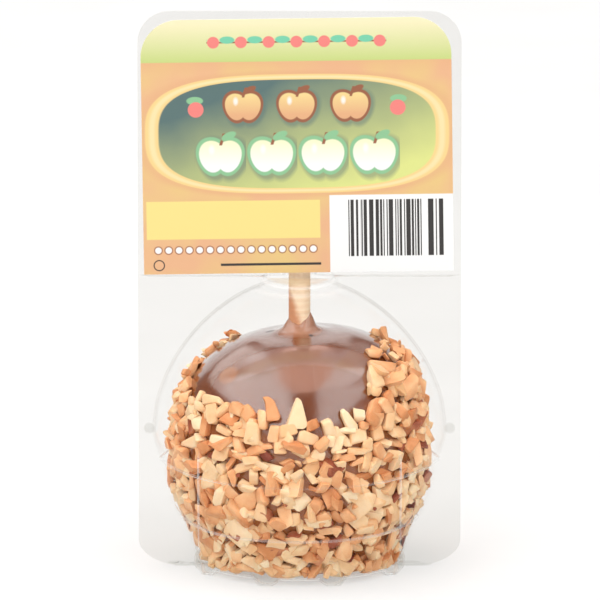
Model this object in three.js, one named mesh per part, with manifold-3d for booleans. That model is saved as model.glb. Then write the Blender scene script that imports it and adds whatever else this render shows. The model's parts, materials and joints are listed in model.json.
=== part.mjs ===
// A caramel apple rolled in chopped nuts, on a wooden stick, in a shut clear two-part pack with a paper label.
// Millimetres, +Z up. The origin is on the floor under the middle of the pack, and the pack's front faces -Y.
import * as THREE from "three";
import { mergeVertices } from "three/addons/utils/BufferGeometryUtils.js";
import Module from "manifold-3d";

const wasm = await Module();
wasm.setup();

// The pack: two sheets, each with half a bubble pressed into it, that meet at the parting plane.
const pack = {
  width: 78.2,
  height: 137.9,
  wall: 0.45,
  gap: 0.3, // between pieces that touch
  partingY: -3.4, // in front of the apple's axis, so that the stick lies behind a flat front sheet
  sheetBottom: 0.3,
  topCorner: 7.8,
  lowCornerX: 11.2,
  lowCornerZ: 6.7,
  depthScale: { front: 0.907, back: 1.095 }, // half depth over half width, so that front and back reach alike
};
const dome = { centreZ: 34.1, radius: 35.9, rise: 37.8, power: 1.8 };
const neck = { topZ: 72.8, cornerZ: 71.9, footZ: 69.7, topRadius: 8.4, radius: 9.3, footRadius: 9.7, slope: 0.1 };
// Rings of the faceted cup under the dome: radius at the parting plane, at the crease and at the front.
const cup = {
  facetTopZ: 34.1,
  shoulder: { z: 26.9, side: 34.3, crease: 33.2, front: 35 },
  step: { z: 26.3, side: 33.2, crease: 32.2, front: 34 },
  waist: { z: 12.4, side: 29.1, crease: 27.4, front: 29.3 },
  heel: { z: 1.9, side: 24.9, crease: 24.7, front: 23.1 },
  floorZ: 0.9,
  floorInset: 1.8,
  creaseX: 24.4, // the two creases stay this far from the middle
  creaseMost: 0.985, // and go no further round than this cosine of the angle from the parting plane
  facetFlat: 0.5, // 1 is a flat side facet, 0 a round one
};
const foot = { radius: 3.2, centreZ: 2.95, ring: 23.4, degrees: [21.4, 70] };
const button = { radius: 1.25, rise: 0.9, x: 36.5, z: 34.6 };
const stickChannel = { radius: 3.9, topZ: 116.4, startZ: 68 };
const stick = { radius: 2.65, bottomZ: 33, topZ: 112, tipRound: 0.7, sides: 24 };
const label = { width: 75, bottomZ: 73.2, height: 63.1, corner: 9.2, thickness: 0.2, shiftX: -0.55, turn: 0.8 };

// The apple under its caramel, as radius and height from the floor of the pack to the collar on the stick.
const appleOutline = [
  [0, 2.8],
  [15.5, 2.8],
  [22.6, 6],
  [26.7, 13],
  [29.5, 21.5],
  [30, 29],
  [29.5, 36.5],
  [27.5, 45],
  [23.3, 51.8],
  [17.6, 55.8],
  [11, 57],
  [6.4, 55.8],
  [4.1, 55.2],
  [3.25, 57.6],
  [3.05, 61.2],
];
const tip = 1e-5; // the radius of a ring that closes a surface at a point
const appleSides = 26;
const appleRings = 20;
const nuts = {
  count: 182, // spread over the whole apple, before the bare top is left out
  length: [4.8, 7],
  width: [3.6, 4.8],
  thickness: [2.8, 4],
  sink: 0.3, // share of the thickness under the caramel
  lineZ: 54.2, // nuts reach this high behind and at the sides
  bareDrop: 9.5, // and this much lower over the bare front
  bareMiddle: 100, // degrees round from the right, where the bare front is centred
  bareHalf: 58, // degrees to either side
  roughness: 0.3,
};

const sides = {
  front: { towards: -1, scale: pack.depthScale.front },
  back: { towards: 1, scale: pack.depthScale.back },
};

// A closed geometry as a solid for joining and cutting.
function solidOf(geometry) {
  const bare = geometry.index ? geometry.toNonIndexed() : geometry.clone();
  bare.deleteAttribute("normal");
  bare.deleteAttribute("uv");
  const merged = mergeVertices(bare, 1e-4);
  return new wasm.Manifold(
    new wasm.Mesh({
      numProp: 3,
      vertProperties: merged.attributes.position.array,
      triVerts: new Uint32Array(merged.index.array),
    }),
  );
}

// The largest body of a solid, without its sealed hollows and loose scraps.
function mainBody(solid) {
  return solid.decompose().reduce((a, b) => (b.volume() > a.volume() ? b : a));
}

function meshOf(name, solid, material) {
  const { numProp, numVert, vertProperties, triVerts } = solid.getMesh();
  const points = new Float32Array(numVert * 3);
  for (let i = 0; i < numVert; i++) {
    points.set(vertProperties.subarray(i * numProp, i * numProp + 3), i * 3);
  }
  const geometry = new THREE.BufferGeometry();
  geometry.setAttribute("position", new THREE.BufferAttribute(points, 3));
  geometry.setIndex(new THREE.BufferAttribute(triVerts, 1));
  const mesh = new THREE.Mesh(geometry, material);
  mesh.name = name;
  return mesh;
}

// A closed surface from rows of points: each row is a loop, and the first and last rows shrink to a point.
function loftSolid(rows) {
  const around = rows[0].length;
  const positions = rows.flat().flatMap((p) => [p.x, p.y, p.z]);
  const index = [];
  for (let j = 0; j + 1 < rows.length; j++) {
    for (let i = 0; i < around; i++) {
      const a = j * around + i;
      const b = j * around + ((i + 1) % around);
      index.push(a, b, b + around, a, b + around, a + around);
    }
  }
  const geometry = new THREE.BufferGeometry();
  geometry.setAttribute("position", new THREE.Float32BufferAttribute(positions, 3));
  geometry.setIndex(index);
  return solidOf(dropFlatFaces(geometry));
}

// Leaves out triangles with two corners in one place, as at the ends of a loft.
function dropFlatFaces(geometry) {
  const merged = mergeVertices(geometry, 1e-4);
  const corners = merged.index.array;
  const kept = [];
  for (let i = 0; i < corners.length; i += 3) {
    const [a, b, c] = corners.slice(i, i + 3);
    if (a !== b && b !== c && c !== a) {
      kept.push(a, b, c);
    }
  }
  merged.setIndex(kept);
  return merged;
}

const mix = (a, b, t) => a + (b - a) * t;

function mixRings(a, b, t, tShape = t) {
  return {
    z: mix(a.z, b.z, t),
    side: mix(a.side, b.side, tShape),
    crease: mix(a.crease, b.crease, tShape),
    front: mix(a.front, b.front, tShape),
    flat: mix(a.flat, b.flat, tShape),
  };
}

// The dome is a superellipse turned about the middle: the radius at height z.
function domeRadius(z) {
  const height = Math.abs(z - dome.centreZ) / dome.rise;
  return dome.radius * (1 - height ** dome.power) ** (1 / dome.power);
}

function roundRing(z, radius = domeRadius(z)) {
  return { z, side: radius, crease: radius, front: radius, flat: 0 };
}

// Rings of the bubble from the middle of its floor to the middle of its top.
function bubbleRings() {
  const [shoulder, step, waist, heel] = [cup.shoulder, cup.step, cup.waist, cup.heel].map((ring) => ({
    ...ring,
    flat: cup.facetFlat,
  }));
  const shrink = (ring, inset, z) => ({
    z,
    side: ring.side - inset,
    crease: ring.crease - inset,
    front: ring.front - inset,
    flat: ring.flat,
  });
  const rings = [
    roundRing(cup.floorZ, tip),
    shrink(heel, cup.floorInset, cup.floorZ),
    shrink(heel, cup.floorInset * 0.32, mix(cup.floorZ, heel.z, 0.35)),
    heel,
    waist,
  ];
  for (const t of [0.8, 0.45, 0]) {
    rings.push(mixRings(step, waist, t, t ** 3));
  }
  rings.push(shoulder);
  for (let i = 1; i <= 2; i++) {
    rings.push(mixRings(shoulder, roundRing(cup.facetTopZ), i / 2));
  }
  const domeTurns = [0.2, 0.39, 0.57, 0.74, 0.89]; // of the way up, closer where it curves in
  rings.push(...domeTurns.map((t) => roundRing(mix(cup.facetTopZ, neck.footZ, t))));
  rings.push(
    roundRing(neck.footZ, neck.footRadius),
    roundRing(neck.cornerZ, neck.radius),
    roundRing(neck.topZ, neck.topRadius),
    roundRing(neck.topZ, tip),
  );
  return rings;
}

// Radius of a ring at an angle from the parting plane, with a facet up to the crease and a bow across the front.
function planRadius(ring, angle, creaseAngle) {
  if (angle < creaseAngle) {
    const chord =
      (ring.side * ring.crease * Math.sin(creaseAngle)) /
      (ring.side * Math.sin(angle) + ring.crease * Math.sin(creaseAngle - angle));
    return mix(mix(ring.side, ring.crease, angle / creaseAngle), chord, ring.flat);
  }
  const t = (angle - creaseAngle) / (Math.PI / 2 - creaseAngle);
  return mix(ring.crease, ring.front, 1 - (1 - t) ** 2);
}

// One half of the bubble as a solid, its wall moved in by inset and its flat back at backY.
function halfBubble({ towards, scale }, inset, backY) {
  const facetSteps = 2;
  const bowSteps = 5;
  const rows = bubbleRings().map((ring) => {
    const most = ring.z < cup.facetTopZ ? cup.creaseMost : cup.creaseX / dome.radius; // above, the angle stays
    const creaseAngle = Math.acos(Math.min(cup.creaseX / Math.max(ring.crease, 1e-6), most));
    const angles = [];
    for (let i = 0; i < facetSteps; i++) {
      angles.push((creaseAngle * i) / facetSteps);
    }
    for (let i = 0; i <= bowSteps; i++) {
      angles.push(mix(creaseAngle, Math.PI / 2, i / bowSteps));
    }
    const top = ring.z > mix(neck.footZ, neck.cornerZ, 0.5);
    const z = ring.z + (ring.z < dome.centreZ ? 1 : -1) * (ring.z > cup.heel.z && !top ? 0 : inset);
    const quarter = angles.map((angle) => {
      const r = Math.max(planRadius(ring, angle, creaseAngle) - inset, 0);
      const depth = scale * r * Math.sin(angle);
      const lean = top ? neck.slope * depth : 0; // the neck's top slopes down away from the sheet
      return new THREE.Vector3(r * Math.cos(angle), backY + towards * depth, z - lean);
    });
    const mirrored = quarter.slice(0, -1).map((p) => new THREE.Vector3(-p.x, p.y, p.z));
    const loop = [...quarter, ...mirrored.reverse()];
    return towards < 0 ? loop.reverse() : loop;
  });
  return loftSolid(rows);
}

// A flat outline in X and Z as a slab between two values of Y.
function slab(outline, lowY, highY, curveSegments = 6) {
  const geometry = new THREE.ExtrudeGeometry(outline, {
    depth: highY - lowY,
    bevelEnabled: false,
    curveSegments,
  });
  geometry.rotateX(Math.PI / 2);
  geometry.translate(0, highY, 0);
  return solidOf(geometry);
}

function panelOutline() {
  const half = pack.width / 2;
  const { sheetBottom: low, height: high, topCorner, lowCornerX, lowCornerZ } = pack;
  const quarter = Math.PI / 2;
  return new THREE.Shape()
    .moveTo(-half + lowCornerX, low)
    .lineTo(half - lowCornerX, low)
    .absellipse(half - lowCornerX, low + lowCornerZ, lowCornerX, lowCornerZ, -quarter, 0)
    .absarc(half - topCorner, high - topCorner, topCorner, 0, quarter)
    .absarc(-half + topCorner, high - topCorner, topCorner, quarter, 2 * quarter)
    .absellipse(-half + lowCornerX, low + lowCornerZ, lowCornerX, lowCornerZ, 2 * quarter, 3 * quarter);
}

function feetSolids({ towards, scale }, backY, radius) {
  const ball = new THREE.SphereGeometry(radius, 10, 6).rotateX(Math.PI / 2);
  return foot.degrees
    .flatMap((degrees) => [degrees, 180 - degrees])
    .map((degrees) => {
      const angle = THREE.MathUtils.degToRad(degrees);
      const y = backY + towards * scale * foot.ring * Math.sin(angle);
      return solidOf(ball.clone().translate(foot.ring * Math.cos(angle), y, foot.centreZ));
    });
}

// A stud on each side of the bubble that snaps the two sheets together.
function buttonSolids(towards, faceY) {
  return [-1, 1].map((side) => {
    const stud = new THREE.CylinderGeometry(button.radius * 0.7, button.radius, button.rise * 2, 8);
    stud.rotateX((towards * Math.PI) / 2);
    return solidOf(stud.translate(side * button.x, faceY, button.z));
  });
}

// The groove behind the sheet that the stick lies in.
function channelSolid(radius, startZ, topZ) {
  const outline = new THREE.Shape()
    .moveTo(-radius, pack.partingY)
    .lineTo(radius, pack.partingY)
    .absarc(0, 0, radius, 0, Math.PI);
  const groove = new THREE.ExtrudeGeometry(outline, { depth: topZ - startZ, bevelEnabled: false, curveSegments: 10 });
  return solidOf(groove.translate(0, 0, startZ));
}

function boxSolid(low, high) {
  const size = new THREE.Vector3().subVectors(high, low);
  const middle = new THREE.Vector3().addVectors(low, high).multiplyScalar(0.5);
  return solidOf(new THREE.BoxGeometry(size.x, size.y, size.z).translate(middle.x, middle.y, middle.z));
}

function shellSolid(side) {
  const { towards } = side;
  const faceY = pack.partingY + (towards * pack.gap) / 2;
  const outerY = faceY + towards * pack.wall;
  const sheet = slab(panelOutline(), Math.min(faceY, outerY), Math.max(faceY, outerY));
  let body = sheet.add(halfBubble(side, 0, faceY));
  feetSolids(side, faceY, foot.radius).forEach((ball) => {
    body = body.add(ball);
  });
  buttonSolids(towards, outerY).forEach((stud) => {
    body = body.add(stud);
  });
  if (towards > 0) {
    body = body.add(channelSolid(stickChannel.radius, stickChannel.startZ, stickChannel.topZ));
  }
  const far = 60;
  const [lowY, highY] = towards < 0 ? [-far, faceY] : [faceY, far];
  body = body.intersect(boxSolid(new THREE.Vector3(-far, lowY, 0), new THREE.Vector3(far, highY, 2 * pack.height)));
  body = body.subtract(halfBubble(side, pack.wall, pack.partingY));
  feetSolids(side, faceY, foot.radius - pack.wall).forEach((ball) => {
    body = body.subtract(ball);
  });
  if (towards > 0) {
    const inner = stickChannel.radius - pack.wall;
    body = body.subtract(channelSolid(inner, neck.footZ - 8, stickChannel.topZ - pack.wall));
  }
  return mainBody(body);
}

// The room inside the shut pack, moved in by a clearance, as one solid.
function roomSolid(clearance) {
  const inset = pack.wall + clearance;
  const overlap = 0.2;
  return halfBubble(sides.front, inset, pack.partingY + overlap).add(
    halfBubble(sides.back, inset, pack.partingY - overlap),
  );
}

// A repeatable number from 0 to 1 for each nut and each use.
function draw(nut, use) {
  const value = Math.sin(nut * 12.9898 + use * 78.233) * 43758.5453;
  return value - Math.floor(value);
}

const outlineCurve = new THREE.SplineCurve(appleOutline.map(([r, z]) => new THREE.Vector2(r, z)));

// Lines of equal area round the apple, from its foot to its collar: where each share of the skin is reached.
function equalAreaSteps(steps = 400) {
  const points = outlineCurve.getPoints(steps);
  const areas = [0];
  for (let i = 1; i < points.length; i++) {
    const band = points[i].distanceTo(points[i - 1]) * (points[i].x + points[i - 1].x);
    areas.push(areas[i - 1] + band);
  }
  return areas.map((area, i) => ({ share: area / areas.at(-1), at: i / steps }));
}

const skinSteps = equalAreaSteps();

function skinAt(share) {
  const i = skinSteps.findIndex((step) => step.share >= share);
  const [low, high] = [skinSteps[Math.max(i - 1, 0)], skinSteps[i]];
  const t = high.share > low.share ? (share - low.share) / (high.share - low.share) : 0;
  const at = mix(low.at, high.at, t);
  return { point: outlineCurve.getPoint(at), tangent: outlineCurve.getTangent(at) };
}

// How high the nuts reach at an angle round the apple: lower over the front, where the caramel is bare.
function nutLine(angle) {
  const degrees = THREE.MathUtils.euclideanModulo(THREE.MathUtils.radToDeg(angle), 360);
  const aside = Math.abs(degrees - nuts.bareMiddle) / nuts.bareHalf;
  const drop = nuts.bareDrop * (1 - THREE.MathUtils.smoothstep(aside, 0.75, 1.1));
  return nuts.lineZ - drop + 0.8 * Math.sin(3 * angle + 1);
}

// A chopped nut is a crooked block, longer than wide, lying on the caramel.
function nutSolid(nut) {
  const share = (nut + 0.5) / nuts.count;
  const angle = nut * 2.399963 + 0.35 * (draw(nut, 1) - 0.5);
  const { point, tangent } = skinAt(share);
  if (point.y > nutLine(angle) || point.x < 1) {
    return null;
  }
  const pick = ([low, high], use) => mix(low, high, draw(nut, use));
  const size = [pick(nuts.length, 2), pick(nuts.width, 3), pick(nuts.thickness, 4)];
  const chunk = mergeVertices(bareGeometry(new THREE.BoxGeometry(0.8, 0.8, 0.8)), 1e-4);
  const corners = chunk.attributes.position;
  for (let i = 0; i < corners.count; i++) {
    const swell = 1 + nuts.roughness * 2 * (draw(nut, 20 + i) - 0.5);
    corners.setXYZ(i, corners.getX(i) * swell, corners.getY(i) * swell, corners.getZ(i) * swell);
  }
  const out = new THREE.Vector3(tangent.y * Math.cos(angle), -tangent.y * Math.sin(angle), -tangent.x);
  const along = new THREE.Vector3(-Math.sin(angle), -Math.cos(angle), 0);
  const across = new THREE.Vector3().crossVectors(out, along);
  const lift = (0.5 - nuts.sink) * size[2];
  const spin = new THREE.Matrix4().makeRotationZ(draw(nut, 5) * Math.PI);
  const tilt = new THREE.Matrix4().makeRotationX(0.9 * (draw(nut, 6) - 0.5));
  const place = new THREE.Matrix4()
    .makeBasis(along, across, out)
    .setPosition(
      point.x * Math.cos(angle) + out.x * lift,
      -point.x * Math.sin(angle) + out.y * lift,
      point.y + out.z * lift,
    );
  const scaled = new THREE.Matrix4().makeScale(...size);
  chunk.applyMatrix4(scaled.premultiply(tilt).premultiply(spin).premultiply(place));
  return solidOf(chunk);
}

function bareGeometry(geometry) {
  geometry.deleteAttribute("normal");
  geometry.deleteAttribute("uv");
  return geometry;
}

function appleSolid() {
  const end = appleOutline.at(-1);
  const profile = [...outlineCurve.getPoints(appleRings), new THREE.Vector2(0, end[1])];
  profile[0].x = 0;
  const body = solidOf(dropFlatFaces(bareGeometry(turned(profile, appleSides))));
  const chunks = [];
  for (let nut = 0; nut < nuts.count; nut++) {
    chunks.push(nutSolid(nut));
  }
  const coated = wasm.Manifold.union([body, ...chunks.filter((chunk) => chunk)]);
  const hole = new THREE.CylinderGeometry(stick.radius + pack.gap, stick.radius + pack.gap, 40, stick.sides);
  hole.rotateX(Math.PI / 2).translate(0, 0, stick.bottomZ - pack.gap + 20);
  return mainBody(coated.intersect(roomSolid(pack.gap)).subtract(solidOf(hole)));
}

// A profile of radius and height turned about the Z axis.
function turned(profile, segments) {
  return new THREE.LatheGeometry(profile, segments).rotateX(Math.PI / 2);
}

function stickSolid() {
  const { radius, bottomZ, topZ, tipRound } = stick;
  const profile = [
    [0, bottomZ],
    [radius - tipRound, bottomZ],
    [radius, bottomZ + tipRound],
    [radius, topZ - tipRound],
    [radius - tipRound, topZ],
    [0, topZ],
  ].map(([r, z]) => new THREE.Vector2(r, z));
  return solidOf(dropFlatFaces(bareGeometry(turned(profile, stick.sides))));
}

function labelSolid() {
  const { width, height, corner, thickness } = label;
  const half = width / 2;
  const quarter = Math.PI / 2;
  const outline = new THREE.Shape()
    .moveTo(-half, -height / 2)
    .lineTo(half, -height / 2)
    .absarc(half - corner, height / 2 - corner, corner, 0, quarter)
    .absarc(-half + corner, height / 2 - corner, corner, quarter, 2 * quarter);
  const sheetFaceY = pack.partingY - pack.gap / 2 - pack.wall;
  const backY = sheetFaceY - pack.gap;
  const turn = new THREE.Matrix4().makeRotationY(THREE.MathUtils.degToRad(-label.turn));
  const place = new THREE.Matrix4().makeTranslation(label.shiftX, 0, label.bottomZ + height / 2);
  return slab(outline, backY - thickness, backY, 6).transform(place.multiply(turn).elements);
}

const clearPlastic = new THREE.MeshStandardMaterial({
  color: 0xf2f4f4,
  roughness: 0.08,
  metalness: 0,
  transparent: true,
  opacity: 0.25,
});
const caramelAndNuts = new THREE.MeshStandardMaterial({ color: 0xd9a266, roughness: 0.45, metalness: 0 });
const paleWood = new THREE.MeshStandardMaterial({ color: 0xe8c79a, roughness: 0.7, metalness: 0 });
const printedPaper = new THREE.MeshStandardMaterial({ color: 0xf6c48c, roughness: 0.5, metalness: 0 });

const group = new THREE.Group();
group.add(
  meshOf("front_shell", shellSolid(sides.front), clearPlastic),
  meshOf("back_shell", shellSolid(sides.back), clearPlastic),
  meshOf("coated_apple", appleSolid(), caramelAndNuts),
  meshOf("stick", stickSolid(), paleWood),
  meshOf("label", labelSolid(), printedPaper),
);

export default group;
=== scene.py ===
import json
import math
import bmesh
import bpy
import numpy as np
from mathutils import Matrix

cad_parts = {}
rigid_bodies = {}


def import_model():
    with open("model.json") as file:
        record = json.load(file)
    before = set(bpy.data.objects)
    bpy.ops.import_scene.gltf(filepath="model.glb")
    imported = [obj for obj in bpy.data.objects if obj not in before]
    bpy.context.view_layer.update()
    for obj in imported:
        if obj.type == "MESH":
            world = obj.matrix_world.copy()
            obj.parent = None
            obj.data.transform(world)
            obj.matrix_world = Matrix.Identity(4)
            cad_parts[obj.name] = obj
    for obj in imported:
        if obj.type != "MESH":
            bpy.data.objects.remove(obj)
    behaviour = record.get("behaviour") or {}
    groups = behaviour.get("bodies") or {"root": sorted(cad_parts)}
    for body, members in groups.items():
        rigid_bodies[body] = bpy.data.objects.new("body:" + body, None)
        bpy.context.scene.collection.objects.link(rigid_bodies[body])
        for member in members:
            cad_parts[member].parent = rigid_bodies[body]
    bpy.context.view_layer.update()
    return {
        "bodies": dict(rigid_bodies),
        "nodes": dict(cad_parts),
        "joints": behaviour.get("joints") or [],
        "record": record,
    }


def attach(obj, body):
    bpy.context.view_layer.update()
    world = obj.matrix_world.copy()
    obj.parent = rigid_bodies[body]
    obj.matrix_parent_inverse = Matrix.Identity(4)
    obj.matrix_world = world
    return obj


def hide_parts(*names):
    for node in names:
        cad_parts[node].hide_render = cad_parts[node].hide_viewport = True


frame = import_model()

mm = 0.001  # every length below is in millimetres until it reaches a mesh
full = 2 * math.pi
rng = np.random.default_rng(11)


def mix(a, b, t):
    return a + (b - a) * t


def ease(low, high, value):
    # 0 below low, 1 above high, with soft ends
    t = np.clip((value - low) / (high - low), 0, 1)
    return t * t * (3 - 2 * t)


def between(heights, value):
    # grows from 0 to 1 over the first two heights and back to 0 over the last two
    return ease(*heights[:2], value) * (1 - ease(*heights[2:], value))


def unit(vectors):
    return vectors / np.linalg.norm(vectors, axis=-1, keepdims=True)


def gridFaces(rows, columns, closed=False):
    # the cells of a grid of points, turned so that rows going up and columns going right face the viewer
    index = np.arange(rows * columns).reshape(rows, columns)
    if closed:
        index = np.hstack([index, index[:, :1]])
    cells = np.stack([index[:-1, :-1], index[:-1, 1:], index[1:, 1:], index[1:, :-1]], axis=-1)
    return cells.reshape(-1, 4)


def makePiece(name, points, faces, finishes, body="root", merge=0.0, sharp=40, values=None):
    # a mesh object at the origin; values holds a number for each point under a name; close points become one
    mesh = bpy.data.meshes.new(name)
    mesh.from_pydata(np.asarray(points).reshape(-1, 3) * mm, [], np.asarray(faces).tolist())
    for key, numbers in (values or {}).items():
        held = mesh.attributes.new(key, "FLOAT", "POINT")
        held.data.foreach_set("value", np.asarray(numbers, float).ravel())
    if merge:
        work = bmesh.new()
        work.from_mesh(mesh)
        bmesh.ops.remove_doubles(work, verts=work.verts, dist=merge * mm)
        work.to_mesh(mesh)
        work.free()
    for finish in finishes:
        mesh.materials.append(finish)
    mesh.update()
    mesh.shade_smooth()
    mesh.set_sharp_from_angle(angle=math.radians(sharp))
    piece = bpy.data.objects.new(name, mesh)
    bpy.context.scene.collection.objects.link(piece)
    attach(piece, body)
    return piece


def thicken(piece, wall, sharp, **settings):
    # gives a sheet its wall on the side away from its faces, and keeps the result as its mesh
    modifier = piece.modifiers.new("wall", "SOLIDIFY")
    modifier.thickness = wall * mm
    modifier.offset = -1
    for key, value in settings.items():
        setattr(modifier, key, value)
    bpy.context.view_layer.update()
    thick = bpy.data.meshes.new_from_object(piece.evaluated_get(bpy.context.evaluated_depsgraph_get()))
    piece.modifiers.clear()
    piece.data = thick
    thick.shade_smooth()
    thick.set_sharp_from_angle(angle=math.radians(sharp))


class Wire:
    # one socket of a finish, with arithmetic: each operator adds a Math node
    def __init__(self, finish, socket):
        self.finish, self.socket = finish, socket

    def math(self, operation, *values):
        return self.finish.node("ShaderNodeMath", {"operation": operation}, dict(enumerate(values)))

    def other(self, name):
        return Wire(self.finish, self.socket.node.outputs[name])

    def __add__(self, value):
        return self.math("ADD", self, value)

    __radd__ = __add__

    def __sub__(self, value):
        return self.math("SUBTRACT", self, value)

    def __rsub__(self, value):
        return self.math("SUBTRACT", value, self)

    def __mul__(self, value):
        return self.math("MULTIPLY", self, value)

    __rmul__ = __mul__

    def __truediv__(self, value):
        return self.math("DIVIDE", self, value)

    def __rtruediv__(self, value):
        return self.math("DIVIDE", value, self)

    def __pow__(self, value):
        return self.math("POWER", self, value)

    def __abs__(self):
        return self.math("ABSOLUTE", self)


class Finish:
    # a material whose nodes all come from one method, with short names for the ones that are used most
    def __init__(self, name):
        self.material = bpy.data.materials.new(name)
        self.material.use_nodes = True
        self.tree = self.material.node_tree
        self.tree.nodes.clear()

    def node(self, kind, settings=None, inputs=None, output=0):
        added = self.tree.nodes.new(kind)
        for key, value in (settings or {}).items():
            if key == "stops":
                ramp = added.color_ramp
                while len(ramp.elements) < len(value):
                    ramp.elements.new(0.5)
                for element, (position, colour) in zip(ramp.elements, value):
                    element.position, element.color = position, colour
            else:
                setattr(added, key, value)
        for key, value in (inputs or {}).items():
            if isinstance(value, Wire):
                self.tree.links.new(value.socket, added.inputs[key])
            else:
                added.inputs[key].default_value = value
        return Wire(self, added.outputs[output]) if len(added.outputs) else None

    def place(self):
        return self.node("ShaderNodeTexCoord", output="Object")

    def number(self, name):
        # what the mesh holds for each of its points under a name
        return self.node("ShaderNodeAttribute", {"attribute_name": name}, output="Fac")

    def noise(self, place, scale, detail):
        return self.node("ShaderNodeTexNoise", {}, {"Vector": place, "Scale": scale, "Detail": detail})

    def bump(self, strength, distance, height):
        return self.node("ShaderNodeBump", {}, {"Strength": strength, "Distance": distance, "Height": height})

    def paint(self, under, over, mask):
        # one colour over another, in full where the mask is 1
        return self.node("ShaderNodeMix", {"data_type": "RGBA"}, {0: mask, 6: under, 7: over}, 2)

    def fade(self, value, start, end):
        # 0 at start, 1 at end, with soft ends; either may be the higher
        return self.node("ShaderNodeMapRange", {"interpolation_type": "SMOOTHSTEP"},
                         {"Value": value, "From Min": start, "From Max": end})

    def blend(self, first, second, share):
        return self.node("ShaderNodeMixShader", {}, {0: share, 1: first, 2: second})

    def surface(self, sockets):
        return self.end(self.node("ShaderNodeBsdfPrincipled", {}, sockets))

    def end(self, shader):
        self.node("ShaderNodeOutputMaterial", {}, {"Surface": shader})
        return self.material


pack = {"width": 78.2, "height": 137.9, "wall": 0.45, "gap": 0.3, "partingY": -3.4, "bottom": 0.3,
        "topCorner": 7.8, "lowCornerX": 11.2, "lowCornerZ": 6.7}
halves = {"front": {"towards": -1, "scale": 0.907}, "back": {"towards": 1, "scale": 1.095}}
dome = {"centreZ": 34.1, "radius": 35.9, "rise": 37.8, "power": 1.8, "topZ": 69.3}
neck = {"topZ": 72.8, "cornerZ": 71.9, "footZ": 69.7, "topRadius": 8.4, "radius": 9.3, "footRadius": 9.7,
        "slope": 0.1, "slopeHeights": (70.4, 71.9, 72.9, 75), "topReach": 0.12}
cup = {"facetTopZ": 34.1, "floorZ": 0.9, "floorInset": 1.8, "creaseX": 24.4, "creaseMost": 0.985,
       "facetFlat": 0.5, "heelInset": 0.576, "heelZ": 1.25}
# The fillet between the sheet and a ring: it grows above the floor, and less of it is left at the neck.
fillet = {"radius": 0.9, "grows": (1.5, 5), "shrinks": (68, 72), "left": 0.35}
# A rib stands along each crease; its whitish line, partly stress whitening and partly a painted highlight, is
# narrower than the rib is.
rib = {"rise": 0.22, "width": 0.32, "heights": (1, 3, 30, 36), "haze": 1.3, "hazeGlintWidth": 0.16,
       "hazeGlintHeights": (1, 3, 31, 35)}
# Bends of the cup: height, then radius at the parting plane, at the crease and at the front.
cupRings = {"shoulder": (26.9, 34.3, 33.2, 35), "step": (26.3, 33.2, 32.2, 34),
            "waist": (12.4, 29.1, 27.4, 29.3), "heel": (1.9, 24.9, 24.7, 23.1)}
foot = {"radius": 3.8, "centreZ": 3.5, "ring": 23.6, "degrees": (21.4, 70)}
channel = {"topZ": 116.4, "ring": (3.9, 5.45, 6.53)}
# Each bend's whitish line, partly stress whitening and partly a painted highlight: its height, its reach and
# how much of it is left across the front.
pressedFolds = ((72, 0.3, 0.22), (69.6, 0.25, 0.12), (26.9, 0.14, 0.25), (12.4, 0.14, 0.55),
                (1.6, 0.3, 1))
foldSides = (12, 24)  # distance from the middle over which a bend's haze grows to its full strength
stud = {"radius": 1.25, "rise": 0.9, "x": 36.5, "z": 34.6}


def ring(z, side, crease, front, flat=0.0, share=1.0):
    # flat is how flat the facet is; share is 1 where the ring stands out and 0 where it lies on the sheet
    return np.array([z, side, crease, front, flat, share], float)


def cupRing(name, inset=0.0, z=None, share=1.0):
    # a named bend of the cup, moved in by inset, at its own height or at z
    height, side, crease, front = cupRings[name]
    height = height if z is None else z
    return ring(height, side - inset, crease - inset, front - inset, cup["facetFlat"], share)


def roundRing(z, radius=None, share=1.0):
    # a round ring; on the dome, (radius / widest) ^ power + (height / rise) ^ power = 1
    if radius is None:
        height = abs(z - dome["centreZ"]) / dome["rise"]
        radius = dome["radius"] * (1 - height ** dome["power"]) ** (1 / dome["power"])
    return ring(z, radius, radius, radius, 0, share)


def bubbleKeys(withChannel):
    # Rings of a half bubble, from the sheet under its floor to the sheet over its neck, each with the reach
    # of its bend.
    floor, inset = cup["floorZ"], cup["floorInset"]
    keys = [(cupRing("heel", inset, pack["bottom"], 0), 0), (cupRing("heel", inset, floor, 0), 0.15)]
    keys += [(cupRing("heel", inset, floor), 0.4), (cupRing("heel", cup["heelInset"], cup["heelZ"]), 0.4)]
    keys.append((cupRing("heel"), 0.5))
    step, waist, shoulder = cupRing("step"), cupRing("waist"), cupRing("shoulder")
    for t in np.linspace(1, 0, 13):  # the belly above the waist leans out fast and then stands up
        belly = mix(step, waist, t ** 3)
        belly[0] = mix(step[0], waist[0], t)
        keys.append((belly, 0.35 if t in (0, 1) else 0))
    keys += [(shoulder, 0.35), (roundRing(cup["facetTopZ"]), 1.5)]
    for t in np.sin(np.linspace(0.06, 0.5, 26) * math.pi):
        keys.append((roundRing(mix(cup["facetTopZ"], dome["topZ"], t)), 0))
    keys.append((roundRing(neck["footZ"], neck["footRadius"]), 0.3))
    keys.append((roundRing(neck["cornerZ"], neck["radius"]), 0.35))
    keys.append((roundRing(neck["topZ"], neck["topRadius"]), 0.45))
    if withChannel:
        top = channel["topZ"]
        keys.append((ring(neck["topZ"] + 0.1, *channel["ring"], 1), 0.4))
        keys += [(ring(top, *channel["ring"], 1), 1.4), (ring(top + 0.01, *channel["ring"], 1, 0), 0)]
    else:
        keys.append((roundRing(neck["topZ"], neck["topRadius"], 0), 0.3))
    return keys


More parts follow.
